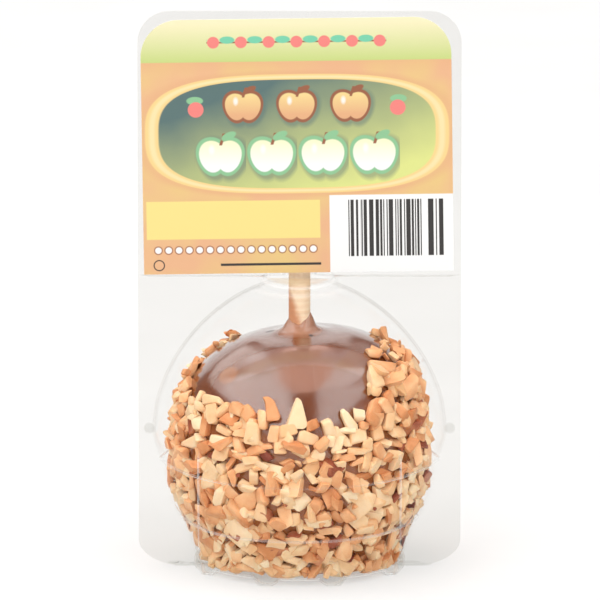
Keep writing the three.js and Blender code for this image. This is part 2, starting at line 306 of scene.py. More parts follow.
def softPath(keys, step):
    # Straight legs between the keys, and at each key a parabola that starts and ends its reach from it.
    rows, reaches = np.array([key for key, _ in keys]), [reach for _, reach in keys]
    across = np.column_stack([rows[:, 0], rows[:, 3] * rows[:, 5]])
    legs = np.linalg.norm(np.diff(across, axis=0), axis=1)
    pieces, start = [], rows[0]
    for i, leg in enumerate(legs):
        last = i + 1 == len(legs)
        reach = 0 if last else min(reaches[i + 1], 0.45 * leg, 0.45 * legs[i + 1])
        end = mix(rows[i + 1], rows[i], reach / leg)
        count = max(1, math.ceil(leg / step))
        pieces.append(mix(start, end, np.arange(count)[:, None] / count))
        start = end
        if reach:
            after = mix(rows[i + 1], rows[i + 2], reach / legs[i + 1])
            t = (np.arange(4) / 4)[:, None]
            pieces.append((1 - t) ** 2 * end + 2 * t * (1 - t) * rows[i + 1] + t ** 2 * after)
            start = after
    return np.vstack(pieces + [rows[-1:]])


def creaseAngle(z, crease):
    # the crease runs straight up the cup, and above it the angle stays as it is where the dome starts
    most = np.where(z < cup["facetTopZ"], cup["creaseMost"], cup["creaseX"] / dome["radius"])
    return np.arccos(np.minimum(cup["creaseX"] / np.maximum(crease, 1e-3), most))


def planRadius(rings, angle):
    # Radius of a ring at an angle from the parting plane: a facet to the crease, then a bow across the front.
    z, side, crease, front, flat = (rings[..., i] for i in range(5))
    corner = creaseAngle(z, crease)
    straight = side * crease * np.sin(corner) / (side * np.sin(angle) + crease * np.sin(corner - angle))
    facet = mix(mix(side, crease, angle / corner), straight, flat)
    across = (angle - corner) / (math.pi / 2 - corner)
    return np.where(angle < corner, facet, mix(crease, front, 1 - (1 - across) ** 2))


def sheetHalfWidth(z):
    # half the width of a sheet at a height, with a round corner above and an elliptic one below
    half, top = pack["width"] / 2, pack["topCorner"]
    up = np.clip((z - pack["height"] + top) / top, 0, 1)
    down = np.clip((pack["bottom"] + pack["lowCornerZ"] - z) / pack["lowCornerZ"], 0, 1)
    return half - top * (1 - np.sqrt(1 - up ** 2)) - pack["lowCornerX"] * (1 - np.sqrt(1 - down ** 2))


def shellRows(withChannel):
    # all rows of one half, from the sheet's lower edge to its upper edge
    bubble = softPath(bubbleKeys(withChannel), 1.1)
    strip = np.repeat(bubble[:1], 6, axis=0)
    strip[:, 0] = mix(pack["bottom"], cup["floorZ"], np.linspace(0, 0.95, 6) ** 2)
    startZ, bendZ = bubble[-1, 0], pack["height"] - pack["topCorner"]
    heights = np.concatenate([np.linspace(startZ, bendZ, 14)[1:],
                              bendZ + pack["topCorner"] * np.sin(np.linspace(0, 0.5, 15)[1:] * math.pi)])
    flatTop = np.repeat(bubble[-1:], len(heights), axis=0)
    flatTop[:, 0], flatTop[:, 5] = heights, 0
    return np.vstack([strip, bubble[1:], flatTop])


def shellPoints(half, rows):
    # Point (row, column) of the outer face: the columns run along the sheet, over a fillet and round a ring.
    # Two numbers go with each point: how hazy the plastic is there, which is partly stress whitening and
    # partly a painted highlight along bends and creases, and whether it lies on the neck's top.
    towards, scale = half["towards"], half["scale"]
    z, side, crease, share = rows[:, 0], rows[:, 1], rows[:, 2], rows[:, 5]
    wall = pack["wall"]
    bend = fillet["radius"] * share * ease(*fillet["grows"], z)
    bend = bend * mix(1, fillet["left"], ease(*fillet["shrinks"], z))
    foldAngle = np.arcsin(wall / (scale * side))
    startAngle = np.arcsin((wall + bend) / (scale * side))
    corner = creaseAngle(z, crease)
    near = 1 / crease
    steps = np.array([-0.8, -0.5, -0.32, -0.16, 0, 0.16, 0.32, 0.5, 0.8])
    angle = np.hstack([mix(startAngle[:, None], (corner - near)[:, None], np.linspace(0, 1, 16)),
                       corner[:, None] + steps * near[:, None],
                       mix((corner + near)[:, None], math.pi / 2, np.linspace(0, 1, 34))])
    rings = np.repeat(rows[:, None, :], angle.shape[1], axis=1)
    radius = planRadius(rings, angle)
    ribRise = rib["rise"] * between(rib["heights"], z) * share
    fromCrease = (angle - corner[:, None]) * crease[:, None]
    radius = radius + ribRise[:, None] * np.exp(-(fromCrease / rib["width"]) ** 2)
    wallX = radius * np.cos(angle)
    wallDepth = np.maximum(share[:, None] * scale * radius * np.sin(angle), wall)
    foldX = (side * np.cos(foldAngle))[:, None]
    outerX = foldX + bend[:, None]
    t = np.linspace(0, 1, 6)[:-1]
    bendX = (1 - t) ** 2 * outerX + 2 * t * (1 - t) * foldX + t ** 2 * wallX[:, :1]
    bendDepth = ((1 - t) ** 2 + 2 * t * (1 - t)) * wall + t ** 2 * wallDepth[:, :1]
    sheetX = mix(sheetHalfWidth(z)[:, None], outerX, np.linspace(0, 1, 11)[:-1])
    x = np.hstack([sheetX, bendX, wallX])
    depth = np.hstack([np.full_like(sheetX, wall), bendDepth, wallDepth])
    x = np.hstack([-x, x[:, -2::-1]])
    depth = np.hstack([depth, depth[:, -2::-1]])
    lean = neck["slope"] * (depth - wall) * between(neck["slopeHeights"], z)[:, None]
    faceY = pack["partingY"] + towards * pack["gap"] / 2
    points = np.stack([x, faceY + towards * depth, z[:, None] - lean], axis=-1)
    for degrees in foot["degrees"] + tuple(180 - d for d in foot["degrees"]):
        turn = math.radians(degrees)  # each foot swells out of the heel as part of a ball
        ballY = faceY + towards * scale * foot["ring"] * math.sin(turn)
        ball = np.array([foot["ring"] * math.cos(turn), ballY, foot["centreZ"]])
        away = points - ball
        reach = np.linalg.norm(away, axis=-1, keepdims=True)
        inside = (reach < foot["radius"]) & (share[:, None, None] > 0.5)
        points = np.where(inside, ball + away * foot["radius"] / np.maximum(reach, 1e-3), points)
    points[..., 2] = np.maximum(points[..., 2], 0)
    # whitish lines along the bends and creases: partly stress whitening, partly a painted highlight
    folds = np.zeros_like(x)
    for foldZ, reach, inFront in pressedFolds:
        band = np.exp(-((z - foldZ) / reach) ** 2)[:, None]
        folds = np.maximum(folds, band * mix(inFront, 1, ease(*foldSides, np.abs(x))))
    onBubble = ease(wall + 0.3, wall + 1.2, depth)
    ribHazeAndGlint = np.zeros_like(depth)
    middle = ribHazeAndGlint.shape[1] // 2
    ribHalf = rib["haze"] * np.exp(-(fromCrease / rib["hazeGlintWidth"]) ** 2)
    ribHazeAndGlint[:, middle - angle.shape[1] + 1:middle + 1] = ribHalf * between(rib["hazeGlintHeights"], z)[:, None]
    ribHazeAndGlint[:, middle:] = ribHazeAndGlint[:, middle::-1]
    haze = np.maximum(folds, ribHazeAndGlint) * onBubble * (share[:, None] > 0.5)
    onNeckTop = (np.abs(z - neck["topZ"])[:, None] < neck["topReach"]) & (np.abs(x) < neck["radius"])
    return points, haze, onNeckTop.astype(float)


def addShell(name, half, withChannel, finish):
    # one formed half: the sheet with its bubble, given a wall on the inside
    points, haze, neckTop = shellPoints(half, shellRows(withChannel))
    faces = gridFaces(*points.shape[:2])
    if half["towards"] > 0:
        faces = faces[:, ::-1]
    values = {"haze": haze, "neckTop": neckTop}
    piece = makePiece(name + "_half", points, faces, [finish], merge=0.002, values=values)
    thicken(piece, pack["wall"], 32)
    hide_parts(name + "_shell")


def addStuds(name, half, finish):
    # A stud each side of the bubble: a profile of radius and height, turned round an axis along Y.
    rise, radius = stud["rise"], stud["radius"]
    turn = np.linspace(0, full, 28, endpoint=False)
    profile = np.array([[0, 0], [radius, 0], [radius * 0.95, rise * 0.35], [radius * 0.8, rise * 0.85],
                        [radius * 0.66, rise], [0, rise * 0.94]])
    outerY = pack["partingY"] + half["towards"] * (pack["gap"] / 2 + pack["wall"] + 0.01)
    points, faces = [], []
    for count, x in enumerate((-stud["x"], stud["x"])):
        y = outerY + half["towards"] * profile[:, 1:] + 0 * turn
        across, up = profile[:, :1] * np.cos(turn), profile[:, :1] * np.sin(turn)
        points.append(np.stack([x + across, y, stud["z"] + up], axis=-1).reshape(-1, 3))
        cells = gridFaces(len(profile), len(turn), closed=True)
        faces.append((cells if half["towards"] < 0 else cells[:, ::-1]) + count * len(profile) * len(turn))
    piece = makePiece(name + "_studs", np.vstack(points), np.vstack(faces), [finish], merge=0.002)


plasticLook = {"clear": (0.962, 0.962, 0.958, 1), "edge": (0.7, 0.68, 0.65, 1), "edgePower": 16,
               "glare": 0.002, "rimGlare": 0.6, "rimPower": 8, "neckGlare": 0.5, "roughness": 0.045,
               "ripple": 0.12, "haze": 0.5, "hazeGlintColour": (0.9, 0.9, 0.89, 1)}


def clearPlastic(look):
    # see-through, with a mirror share that grows towards the rim, darker where the wall is seen edge on
    finish = Finish("clearPlastic")
    facing = finish.node("ShaderNodeLayerWeight", {}, {"Blend": 0.5}, "Facing")
    waves = finish.noise(finish.place(), 45, 1)
    clear = finish.node("ShaderNodeBsdfTransparent", {}, {"Color": look["clear"]})
    edge = finish.node("ShaderNodeBsdfTransparent", {}, {"Color": look["edge"]})
    body = finish.blend(clear, edge, facing ** look["edgePower"])
    gloss = finish.node("ShaderNodeBsdfGlossy", {}, {"Color": (1, 1, 1, 1), "Roughness": look["roughness"],
                                                     "Normal": finish.bump(look["ripple"], 0.0006, waves)})
    gleam = look["glare"] + look["rimGlare"] * facing ** look["rimPower"]
    gleam = gleam + finish.number("neckTop") * facing ** 2 * look["neckGlare"]
    # partly painted highlight: a whitish diffuse share on the bends and creases stands in for their bright
    # highlight lines, besides stress whitening
    white = finish.node("ShaderNodeBsdfDiffuse", {}, {"Color": look["hazeGlintColour"]})
    mirrored = finish.blend(body, gloss, gleam)
    return finish.end(finish.blend(mirrored, white, finish.number("haze") * look["haze"]))


print("clear pack")
plastic = clearPlastic(plasticLook)
for name, half in halves.items():
    addShell(name, half, name == "back", plastic)
    addStuds(name, half, plastic)


# Radius and height of the caramel's skin, from the flat foot to the collar round the stick. The crown rises
# by lean for each millimetre to the right, and falls away by frontFall towards the viewer.
appleOutline = [(0, 2.8), (15.5, 2.8), (22.6, 6), (26.7, 13), (29.5, 21.5), (30, 29), (29.5, 36.5),
                (27.5, 45), (23.6, 51.2), (18.2, 55), (12.4, 57.2), (7.6, 57.9), (4.9, 58.6), (3.7, 59.7),
                (3.1, 61.2)]
crown = {"lean": 0.06, "leanHeights": (30, 55), "frontFall": 4, "fallRadii": (4, 30), "fallHeights": (29, 42)}
# Slow waves on the body, and the collar where the caramel climbs the stick and is tucked in at its end.
wave = {"depth": 0.1, "radii": (9, 20), "heights": (3, 8)}
collar = {"radii": (3.4, 6.5), "heights": (58.8, 61.2), "tuck": 0.5, "tuckHeights": (59.8, 61.2),
          "insideZ": 59.5}
# The film is what climbs the stick, and crumbs colour what is under the nuts: each fades in from the first
# number to the second, one by distance from the stick and one by height. The coat is dull over its own reach.
caramelLook = {"colour": (0.19, 0.043, 0.004, 1), "deep": (0.12, 0.024, 0.002, 1), "roughness": 0.16,
               "coat": 1.0, "coatIndex": 1.8, "film": (0.38, 0.185, 0.115, 1),
               "filmReach": (7, 3.4), "dullReach": (7.5, 4.2), "crumbs": (0.3, 0.1, 0.03, 1),
               "crumbHeights": (43, 36)}
# Places where the skin is marked, each with its reach: two small holes near the stick, painted near black as
# the shade inside them, and a dull smear.
skinPits = (((2.8, -5.9, 58.3), 0.8), ((-7.2, 1.6, 57.6), 1.5))
paintedPitShade = (0.04, 0.015, 0.006, 1)
smear = {"place": (-17.3, -13.9, 50.3), "reach": 3.6, "fade": 1.4, "colour": (0.33, 0.12, 0.04, 1)}
# A painted reflection across the shoulder in front of the stick, pale tones where lamps and the label would
# be mirrored, by distance towards the viewer, in three tones: they meet along the sides of a wedge, each
# given by a point and its slope.
paintedReflection = {"depths": (-17.8, -16.7, -11.9, -10.2), "middleX": 1, "halfWidths": (18, 12),
         "leftTone": (0.25, 0.135, 0.112, 1), "middleTone": (0.225, 0.098, 0.072, 1),
         "rightTone": (0.23, 0.092, 0.052, 1), "left": (-9.9, -8.2, 0.48), "right": (13.1, -9.9, 0.64)}


def smoothLine(corners, count):
    # a Catmull-Rom curve through the corners, as rows of points evenly spaced in its parameter
    corners = np.array(corners, float)
    t = np.linspace(0, len(corners) - 1, count)
    start = np.minimum(t.astype(int), len(corners) - 2)
    f = (t - start)[:, None]
    before, here, there = corners[np.maximum(start - 1, 0)], corners[start], corners[start + 1]
    after = corners[np.minimum(start + 2, len(corners) - 1)]
    slopeIn, slopeOut = (there - before) / 2, (after - here) / 2
    return ((2 * (here - there) + slopeIn + slopeOut) * f ** 3
            + (3 * (there - here) - 2 * slopeIn - slopeOut) * f ** 2 + slopeIn * f + here)


def evenLine(corners, count):
    # the same curve with its points the same distance apart
    dense = smoothLine(corners, 3000)
    along = np.concatenate([[0], np.cumsum(np.linalg.norm(np.diff(dense, axis=0), axis=1))])
    wanted = np.linspace(0, along[-1], count)
    return np.column_stack([np.interp(wanted, along, dense[:, 0]), np.interp(wanted, along, dense[:, 1])])


def turnedPoints(radius, height, angle):
    # angles run from the right-hand side over the front (90 degrees) to the left
    return np.stack([radius * np.cos(angle), -radius * np.sin(angle), height], axis=-1)


def settled(points):
    # the crown leans to the left, and its front slopes down sooner than its back
    x, y, z = (points[..., i] for i in range(3))
    radius = np.hypot(x, y)
    front = np.maximum(-y, 0) / np.maximum(radius, 1e-3)
    rise = crown["lean"] * x * ease(*crown["leanHeights"], z)
    fall = crown["frontFall"] * front ** 2 * ease(*crown["fallRadii"], radius)
    fall = fall * ease(*crown["fallHeights"], z)
    return np.stack([x, y, z + rise - fall], axis=-1)


def addCaramel(finish):
    # The outline turned about the stick, pushed in and out by slow waves, with a collar that ends unevenly.
    rings, around = 190, 240
    line = evenLine(appleOutline, rings)
    angle = np.linspace(0, full, around, endpoint=False)
    radius = np.repeat(line[:, :1], around, axis=1)
    height = np.repeat(line[:, 1:], around, axis=1)
    slow = (np.sin(3 * angle + 0.16 * height) + 0.7 * np.sin(5 * angle - 0.22 * height + 1)
            + 0.5 * np.sin(8 * angle + 0.3 * height + 2))
    radius = radius + wave["depth"] * slow * ease(*wave["radii"], radius) * ease(*wave["heights"], height)
    onCollar = 1 - ease(*collar["radii"], radius)
    lift = 0.9 * np.cos(2 * angle) + 0.6 * np.cos(angle) + 0.12 * np.sin(7 * angle)
    height = height + lift * ease(*collar["heights"], height) * onCollar
    radius = radius - collar["tuck"] * ease(*collar["tuckHeights"], line[:, 1:]) * onCollar
    points = settled(turnedPoints(radius, height, angle))
    inner = points[-1:] * [0.5, 0.5, 1]
    points = np.vstack([points, inner, np.broadcast_to([0, 0, collar["insideZ"]], (1, around, 3))])
    faces = gridFaces(*points.shape[:2], closed=True)[:, ::-1]
    piece = makePiece("caramel_coat", points, faces, [finish], merge=0.003, sharp=70)
    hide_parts("coated_apple")


def caramel(look):
    # glossy toffee brown in slow patches, a browner film up the stick, dull and crumbed where the nuts lie
    finish = Finish("caramel")
    fade, paint = finish.fade, finish.paint
    place = finish.place()
    patches = finish.noise(place, 55, 3)
    uneven = patches - 0.5
    split = finish.node("ShaderNodeSeparateXYZ", {}, {"Vector": place}, "X")
    x, y, z = split * 1000, split.other("Y") * 1000, split.other("Z") * 1000

    def away(centre):
        ends = {0: place, 1: tuple(value * mm for value in centre)}
        return finish.node("ShaderNodeVectorMath", {"operation": "DISTANCE"}, ends, "Value") * 1000

    fromStick = (x * x + (y + 1.2) * (y + 1.2)) ** 0.5
    nearStick = fade(fromStick, *look["dullReach"])
    film = fade(fromStick + uneven * 3, *look["filmReach"])
    underNuts = fade(z, *look["crumbHeights"])
    # painted reflection: pale tones in the base colour over the shoulder, where the lamps and the label would
    # be mirrored
    near, nearFull, farFull, far = paintedReflection["depths"]
    shoulder = fade(y, near, nearFull) * fade(y, far, farFull)
    shoulder = shoulder * fade(abs(x - paintedReflection["middleX"]), *paintedReflection["halfWidths"])
    (leftX, leftY, leftSlope), (rightX, rightY, rightSlope) = paintedReflection["left"], paintedReflection["right"]
    onLeft = fade(leftX + (leftY - y) * leftSlope - x + uneven * 0.8, -0.3, 0.3)
    onRight = fade(x - rightX + (rightY - y) * rightSlope + uneven * 0.8, -0.3, 0.3)
    pale = paint(paint(paintedReflection["middleTone"], paintedReflection["leftTone"], onLeft), paintedReflection["rightTone"], onRight)
    colour = paint(look["deep"], look["colour"], patches * 1.8 - 0.4)
    colour = paint(colour, pale, shoulder)
    colour = paint(colour, look["film"], film * 0.9)
    colour = paint(colour, look["crumbs"], underNuts)
    smeared = fade(away(smear["place"]) + uneven * 5, smear["reach"], smear["reach"] - smear["fade"])
    colour = paint(colour, smear["colour"], smeared * 0.8)
    coat = look["coat"] * (1 - nearStick * 0.75) * (1 - underNuts * 0.8) * (1 - smeared * 0.35)
    for centre, reach in skinPits:
        # painted shade: each hole is painted near black, with no coat
        pitShade = fade(away(centre), reach, reach * 0.5)
        colour = paint(colour, paintedPitShade, pitShade)
        coat = coat * (1 - pitShade)
    bump = finish.bump(0.25, 0.0003, finish.noise(place, 420, 2) + patches * 1.5)
    return finish.surface({"Base Color": colour, "Roughness": look["roughness"], "Coat Weight": coat,
                           "Coat Roughness": 0.17, "Coat IOR": look["coatIndex"], "Normal": bump})


# How high the nuts reach at each angle round the apple, in degrees: low over the front, where it is bare.
nutLine = np.array([(0, 54.5), (24, 54.4), (38, 53.7), (44, 51.5), (51, 49), (57, 46.8), (65, 44), (78, 43.8),
                    (92, 44.1), (105, 44.6), (113, 46.2), (122, 47), (150, 46.2), (163, 46.6), (178, 49.5),
                    (190, 53), (205, 55.5), (216, 55.5), (230, 50), (250, 47.5), (290, 47.5), (315, 50),
                    (330, 54), (345, 55.5), (360, 54.5)])
nutLook = {"length": 4.9, "spread": 0.26, "range": (3.1, 8.4), "width": (0.58, 0.9), "thickness": (2.0, 3.5),
           "tilt": 0.4, "clearance": 0.2, "roundShare": 0.5, "crownSize": 0.7, "crownHeights": (46, 52),
           "spiral": 2.399963, "stray": 0.75, "skinnedTop": 43, "rounded": (0.7, 1), "blocky": (0.35, 0.6),
           "bend": (0.2, 0.12), "warp": 0.14, "cuts": 3, "cutDepth": (0.45, 0.95), "rough": 0.022,
           "shares": {"pale": 0.5, "toasted": 0.44, "skinned": 0.06}}
# Two layers on the skin: how many, how much of each nut's thickness is sunk, and how far they tip over.
nutLayers = {"pressed": {"count": 1040, "sink": (0.15, 0.45), "loose": 1},
             "dropped": {"count": 400, "sink": (-0.2, 0.15), "loose": 1.4}}
# Loose nuts in the cup, round the apple's foot, and a sliver fallen beside the apple.
heap = {"count": 84, "heights": (2.5, 5.2), "inset": (1.7, 2.9), "loose": 2.2}
sliver = {"centre": (-30.8, -6, 14.2), "size": (5.6, 1.9, 1.4), "turn": -45, "taper": 0.6}
# Nuts that stand out along the bare edge: angle, height, length, width, turn, taper and kind. The others
# keep clear of them by room.
edgeLook = {"thickness": (2.2, 3.2), "lift": 0.3, "loose": 0.35, "wild": 0.4, "room": 2.2}
edgeNuts = [(150.8, 46.6, 3.2, 2.4, 100, 0.6, "pale"), (139.9, 46.8, 7.8, 4.8, 14, 0.85, "pale"),
            (131.2, 45.9, 4.8, 2.9, 52, 0.4, "pale"), (122.8, 46.9, 4.5, 3.6, -15, 0.2, "toasted"),
            (116.8, 46.4, 4.2, 3.9, -40, 0.15, "toasted"), (108.4, 45.7, 5.2, 3.2, 95, 0.3, "toasted"),
            (104.9, 47.9, 7.6, 4.9, 112, 0.68, "toasted"), (91.1, 47.2, 8.2, 9.2, 88, 1, "pale"),
            (95.8, 43.8, 4.9, 4, 10, 0.3, "pale"), (102.4, 42.8, 5, 3.8, 84, 0.3, "toasted"),
            (112.6, 42.3, 6.2, 5.4, 92, 0.45, "pale"), (127.9, 41.3, 5, 3.4, 165, 0.5, "pale"),
            (121.5, 43.3, 4, 2.6, 35, 0.4, "pale"), (119, 38.4, 5.8, 3.2, -65, 0.4, "toasted"),
            (127.1, 34.9, 6.9, 4.9, 88, 0.2, "pale"), (140.5, 41, 6.8, 3.6, 95, 0.4, "toasted"),
            (137.2, 34.9, 4.2, 3.8, 40, 0.2, "toasted"), (99.1, 39, 4.6, 3.5, 95, 0.1, "pale"),
            (112.5, 33.4, 5.4, 4.4, 20, 0.2, "pale"), (105.1, 35.8, 4.4, 3.2, -50, 0.3, "skinned"),
            (84.2, 44.6, 3.8, 3.3, 20, 0.3, "toasted"), (85.9, 41.7, 5.4, 4.2, -20, 0.4, "pale"),
            (76.1, 43.5, 5.2, 3.5, 108, 0.3, "pale"), (75.8, 40.5, 3.2, 2.8, 70, 0.3, "pale"),
            (65.8, 44.3, 6.6, 4.6, 114, 0.8, "pale"), (51.1, 44.5, 8, 4.8, 56, 0.3, "toasted"),
            (57.9, 42.3, 3, 2.5, -20, 0.3, "toasted"), (61.5, 40.2, 4.6, 4.5, 0, 0.05, "pale"),
            (51, 39.9, 4.9, 4.5, 92, 0.5, "pale"), (71.8, 38.9, 6.6, 3.6, 68, 0.3, "pale"),
            (62.2, 36, 6, 3.4, -15, 0.45, "pale"), (51.4, 34.7, 5.8, 4.2, 118, 0.4, "toasted"),
            (68.4, 34.2, 4.2, 3.2, 10, 0.2, "toasted"), (43.9, 41.5, 5.4, 3.6, 62, 0.3, "pale"),
            (43.6, 50.5, 7, 4.4, 78, 0.15, "pale"), (33.5, 51.4, 8.8, 4.4, -36, 0.25, "toasted"),
            (29.2, 47.3, 7.4, 5, -60, 0.2, "pale"), (41.2, 45.5, 4.6, 3.5, 100, 0.3, "toasted"),
            (29.8, 41.4, 7, 5.2, 20, 0.25, "toasted")]


def nutBlock():
    # a cube with a narrow strip along each edge: 54 faces, with the points that its sides share used once
    stops = np.array([-1, -0.66, 0.66, 1])
    a, b = np.meshgrid(stops, stops, indexing="ij")
    sides, faces = [], []
    for axis in range(3):
        for sign in (-1, 1):
            side = np.stack([np.full_like(a, sign), a * sign, b], axis=-1)
            faces.append(gridFaces(4, 4)[:, ::-1] + 16 * len(sides))
            sides.append(np.roll(side, axis, axis=-1).reshape(-1, 3))
    points, index = np.unique(np.vstack(sides).round(4), axis=0, return_inverse=True)
    return points, index.reshape(-1)[np.vstack(faces)]


def wallRings(z):
    # the bubble's rings at these heights, from its heel up
    keys = np.array([key for key, _ in bubbleKeys(False)][3:-1])
    return np.stack([np.interp(z, keys[:, 0], keys[:, i]) for i in range(5)], axis=-1)


def depthScale(inFront):
    # how much deeper than wide the half is that a point lies in
    return np.where(inFront, halves["front"]["scale"], halves["back"]["scale"])


def roomLimit(points):
    # pulls points in to the inner wall of the pack, less a clearance, and lifts them off its floor
    inset = pack["wall"] + nutLook["clearance"]
    x, fromParting, z = points[..., 0], points[..., 1] - pack["partingY"], points[..., 2]
    u = np.abs(fromParting) / depthScale(fromParting < 0)
    limit = planRadius(wallRings(z), np.arctan2(u, np.abs(x))) - inset
    shrink = np.minimum(limit / (np.hypot(x, u) + 1e-6), 1)
    y = pack["partingY"] + fromParting * shrink
    return np.stack([x * shrink, y, np.maximum(z, cup["floorZ"] + inset)], axis=-1)


def scatterNuts(count):
    # A golden-angle spiral over bands of equal area gives even spacing; small random steps make it loose.
    line, length = skinLine()
    step = np.diff(length)
    area = np.concatenate([[0], np.cumsum(step * (line[1:, 0] + line[:-1, 0]))])
    order = np.arange(count)
    at = np.interp((order + 0.5) / count * area[-1], area, length) + rng.normal(0, nutLook["stray"], count)
    radius, height = np.interp(at, length, line[:, 0]), np.interp(at, length, line[:, 1])
    strayed = rng.normal(0, nutLook["stray"], count) / np.maximum(radius, 4)
    angle = (order * nutLook["spiral"] + strayed) % full
    limit = np.interp(np.degrees(angle), nutLine[:, 0], nutLine[:, 1])
    kept = (height < limit) & (radius > 1) & ((radius > 14) | (height < 20))  # none round the stick
    edgeAngle, edgeHeight = np.array([nut[:2] for nut in edgeNuts], float).T
    away = np.hypot((np.degrees(angle)[:, None] - edgeAngle) * 0.5, (height[:, None] - edgeHeight) * 1.15)
    kept &= away.min(axis=1) > edgeLook["room"]
    return at[kept], angle[kept]


def skinLine():
    # the outline of the caramel's skin with its length from the foot
    line = evenLine(appleOutline, 2000)
    return line, np.concatenate([[0], np.cumsum(np.linalg.norm(np.diff(line, axis=0), axis=1))])


def skinFrame(at, angle):
    # where a nut sits on the skin, with the directions out of it and level to the right
    line, length = skinLine()
    slope = np.gradient(line, length, axis=0)
    radius, height = (np.interp(at, length, line[:, i]) for i in (0, 1))
    along = unit(np.column_stack([np.interp(at, length, slope[:, i]) for i in (0, 1)]))
    out = np.stack([along[:, 1] * np.cos(angle), -along[:, 1] * np.sin(angle), -along[:, 0]], axis=-1)
    right = np.stack([np.sin(angle), np.cos(angle), 0 * angle], axis=-1)
    return turnedPoints(radius, height, angle), out, right


def nutShapes(size, taper, wild):
    # Blocks pressed towards balls, narrowed to one end, bent, leant over and cut flat by three planes.
    block, faces = nutBlock()
    count = len(size)
    lobed = rng.uniform(0, 1, (count, 1, 1)) < nutLook["roundShare"]
    lobe, blunt = (rng.uniform(*nutLook[key], (count, 1, 1)) for key in ("rounded", "blocky"))
    roundness = mix(0.8, np.where(lobed, lobe, blunt), wild)
    shape = mix(block, unit(block) * 1.22, roundness)
    towardsTip = (shape[..., 0] + 1.1) / 2.2
    shape[..., 1] *= 1 - taper[:, None] * towardsTip
    shape[..., 2] *= 1 - taper[:, None] * rng.uniform(0.2, 0.9, (count, 1)) * towardsTip
    shape[..., 1:] *= 1 - 0.6 * (taper[:, None] * (1 - towardsTip) ** 3)[..., None]
    for axis, bend in zip((1, 2), nutLook["bend"]):
        shape[..., axis] += rng.normal(0, bend, (count, 1)) * (0.5 - shape[..., 0] ** 2)
    warp = rng.normal(0, nutLook["warp"] * wild, (count, 3, 3))
    shape = shape + np.einsum("npi,nij->npj", shape, warp)
    cutShare = np.zeros(shape.shape[:2])
    for _ in range(nutLook["cuts"]):
        normal = unit(rng.normal(0, 1, (count, 3)) * [1, 1, 0.8])
        depth = mix(0.9, rng.uniform(*nutLook["cutDepth"], (count, 1)), wild)
        over = np.maximum(np.einsum("npi,ni->np", shape, normal) - depth, 0)
        shape = shape - over[..., None] * normal[:, None]
        cutShare = np.maximum(cutShare, np.minimum(over * 8, 1))
    shape = shape + rng.normal(0, nutLook["rough"], shape.shape)
    return shape * size[:, None] / 2, faces, cutShare


def layNuts(frame, size, turn, taper, lift, loose, wild):
    # each nut turned in its own direction on the surface under it, tipped a little and raised by lift
    centre, out, right = frame
    shape, faces, cutShare = nutShapes(size, taper, wild)
    tilt = rng.normal(0, nutLook["tilt"], (len(size), 2)) * loose
    up = np.cross(out, right)
    long = np.cos(turn)[:, None] * right + np.sin(turn)[:, None] * up
    long = unit(long + tilt[:, :1] * out)
    short = unit(np.cross(out, long) + tilt[:, 1:] * out)
    short = unit(short - np.sum(short * long, axis=-1, keepdims=True) * long)
    high = np.cross(long, short)
    points = (centre + out * lift[:, None])[:, None] + (
        shape[..., :1] * long[:, None] + shape[..., 1:2] * short[:, None] + shape[..., 2:] * high[:, None])
    return roomLimit(settled(points)), faces, cutShare


def nutSizes(count):
    # a length spread in proportion about the usual one, a width that is a share of it, and a thickness
    length = np.clip(nutLook["length"] * np.exp(rng.normal(0, nutLook["spread"], count)), *nutLook["range"])
    width = length * rng.uniform(*nutLook["width"], count)
    return np.column_stack([length, width, np.minimum(width, rng.uniform(*nutLook["thickness"], count))])


def heapFrame(count):
    # places just inside the cup's wall, in rising rings round the apple's foot
    angle = (np.arange(count) + rng.uniform(-0.4, 0.4, count)) / count * full * 2
    z = rng.uniform(*heap["heights"], count)
    radius = planRadius(wallRings(z), np.arcsin(np.abs(np.sin(angle))))
    reach = radius - pack["wall"] - rng.uniform(*heap["inset"], count)
    y = pack["partingY"] - depthScale(np.sin(angle) > 0) * reach * np.sin(angle)
    centre = np.stack([reach * np.cos(angle), y, z], axis=-1)
    out = np.stack([np.cos(angle), -np.sin(angle), 0 * angle], axis=-1)
    right = np.stack([np.sin(angle), np.cos(angle), 0 * angle], axis=-1)
    return centre, out, right


